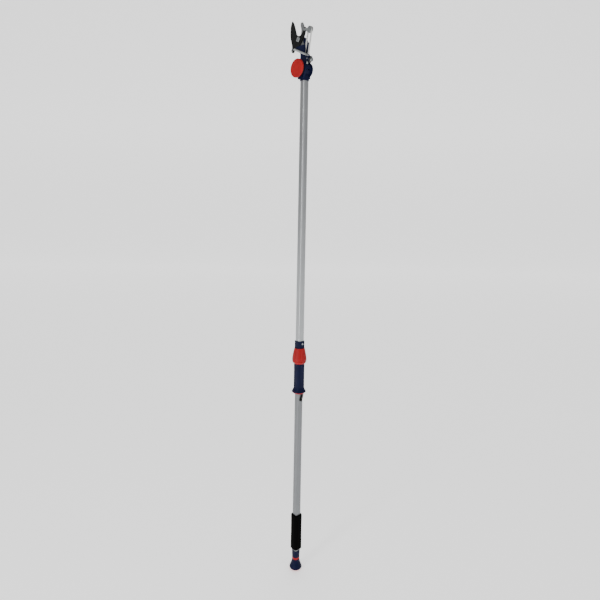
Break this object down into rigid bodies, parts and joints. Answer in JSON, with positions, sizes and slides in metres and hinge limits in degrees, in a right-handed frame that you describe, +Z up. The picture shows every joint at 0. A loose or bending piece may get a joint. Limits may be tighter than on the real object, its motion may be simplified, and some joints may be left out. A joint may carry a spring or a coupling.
{
  "type": "telescopic pole pruner",
  "caption": "Telescopic pole pruner with a tilting bypass cutting head, strap pulleys, twist lock, sliding hand grip, foam grip and pull handle at its foot.",
  "frame": {"origin": "centre of the end handle's flat foot, on the pole's axis", "axes": "+Z up the pole to the blades; the blades move in the XZ plane; the tilt knob faces -Y; the strap rollers are on the +X side"},
  "size_m": [0.134, 0.073, 2.206],
  "materials": {
    "tube_aluminium": "satin anodised",
    "navy_plastic": "moulded, fine grain",
    "red_plastic": "moulded, semi-gloss",
    "black_plastic": "moulded",
    "black_foam": "closed-cell foam",
    "white_nylon": "natural nylon",
    "bright_steel": "brushed, zinc plated",
    "grey_steel": "forged and ground",
    "black_blade": "non-stick coating",
    "strap_webbing": "flat woven strap"
  },
  "bodies": {
    "upper_pole": {"upper_tube": "tube_aluminium", "hub_socket": "navy_plastic", "rear_cheek": "navy_plastic", "hub_screws": "bright_steel", "tilt_bolt": "bright_steel", "tilt_nut": "bright_steel", "lock_collar": "navy_plastic", "collar_screws": "bright_steel", "collet": "black_plastic"},
    "twist_lock": {"twist_sleeve": "red_plastic"},
    "tilt_knob": {"knob_cap": "red_plastic", "knob_stem": "black_plastic"},
    "tilt_guide": {"tilt_roller": "white_nylon"},
    "slide_handle": {"grip_shell": "navy_plastic", "grip_rim": "red_plastic", "grip_liner": "black_plastic", "drive_pin": "bright_steel", "shuttle": "white_nylon", "strap_screws": "bright_steel", "pole_strap": "strap_webbing", "latch_pin": "bright_steel"},
    "handle_latch": {"latch_lever": "black_plastic"},
    "lower_pole": {"lower_tube": "tube_aluminium", "tube_plug": "white_nylon", "foam_grip": "black_foam"},
    "end_handle": {"end_grip": "navy_plastic", "end_ring": "red_plastic", "foot_rim": "red_plastic", "end_strap": "strap_webbing"},
    "head": {"head_bracket": "navy_plastic", "hook": "grey_steel", "bracket_screws": "bright_steel", "pivot_bolt": "bright_steel", "pivot_nut": "bright_steel", "lower_axle": "bright_steel", "anchor_pin": "bright_steel", "spring_post": "bright_steel", "head_strap": "strap_webbing", "return_spring": "bright_steel"},
    "blade": {"blade": "black_blade", "roller_plates": "bright_steel", "clevis_pin": "bright_steel", "top_axle": "bright_steel", "tail_post": "grey_steel"},
    "strap_pulley": {"top_roller": "bright_steel"},
    "guide_pulley": {"lower_roller": "bright_steel"}
  },
  "joints": [
    {"name": "pole_slide", "type": "slide", "parent": "upper_pole", "child": "lower_pole", "axis": [0, 0, 1], "range_m": [0, 0.34], "deforming": ["end_strap"]},
    {"name": "twist_lock_turn", "type": "hinge", "parent": "upper_pole", "child": "twist_lock", "pos_m": [0, 0, 0.847], "axis": [0, 0, 1], "range_deg": [0, 90]},
    {"name": "handle_slide", "type": "slide", "parent": "upper_pole", "child": "slide_handle", "axis": [0, 0, -1], "range_m": [0, 0.1], "stiffness_N_per_m": 350, "springref_m": -0.03, "deforming": ["pole_strap"]},
    {"name": "latch_swing", "type": "hinge", "parent": "slide_handle", "child": "handle_latch", "pos_m": [0.0154, 0.0074, 0.696], "axis": [1, 0, 0], "range_deg": [0, 30]},
    {"name": "end_handle_slide", "type": "slide", "parent": "lower_pole", "child": "end_handle", "axis": [0, 0, -1], "range_m": [0, 0.1]},
    {"name": "head_tilt", "type": "hinge", "parent": "upper_pole", "child": "head", "pos_m": [0, 0, 1.99], "axis": [0, 1, 0], "range_deg": [-45, 45]},
    {"name": "knob_turn", "type": "hinge", "parent": "upper_pole", "child": "tilt_knob", "pos_m": [0, -0.03, 1.99], "axis": [0, 1, 0], "range_deg": [-180, 180]},
    {"name": "tilt_roller_spin", "type": "hinge", "parent": "upper_pole", "child": "tilt_guide", "pos_m": [0, 0, 1.99], "axis": [0, 1, 0], "range_deg": [0, 640]},
    {"name": "blade_close", "type": "hinge", "parent": "head", "child": "blade", "pos_m": [-0.037, -0.002, 2.12], "axis": [0, 1, 0], "range_deg": [0, 45], "deforming": ["head_strap", "return_spring"]},
    {"name": "top_roller_spin", "type": "hinge", "parent": "blade", "child": "strap_pulley", "pos_m": [0.028, 0, 2.145], "axis": [0, 1, 0], "range_deg": [0, 320]},
    {"name": "lower_roller_spin", "type": "hinge", "parent": "head", "child": "guide_pulley", "pos_m": [0.029, 0, 2.028], "axis": [0, -1, 0], "range_deg": [0, 500]}
  ],
  "couplings": [
    {"joint": "end_handle_slide", "follows": "handle_slide", "ratio": 1},
    {"joint": "blade_close", "follows": "handle_slide", "rad_per_m": 7.85},
    {"joint": "top_roller_spin", "follows": "handle_slide", "rad_per_m": 55},
    {"joint": "lower_roller_spin", "follows": "handle_slide", "rad_per_m": 84},
    {"joint": "tilt_roller_spin", "follows": "handle_slide", "rad_per_m": 110}
  ]
}
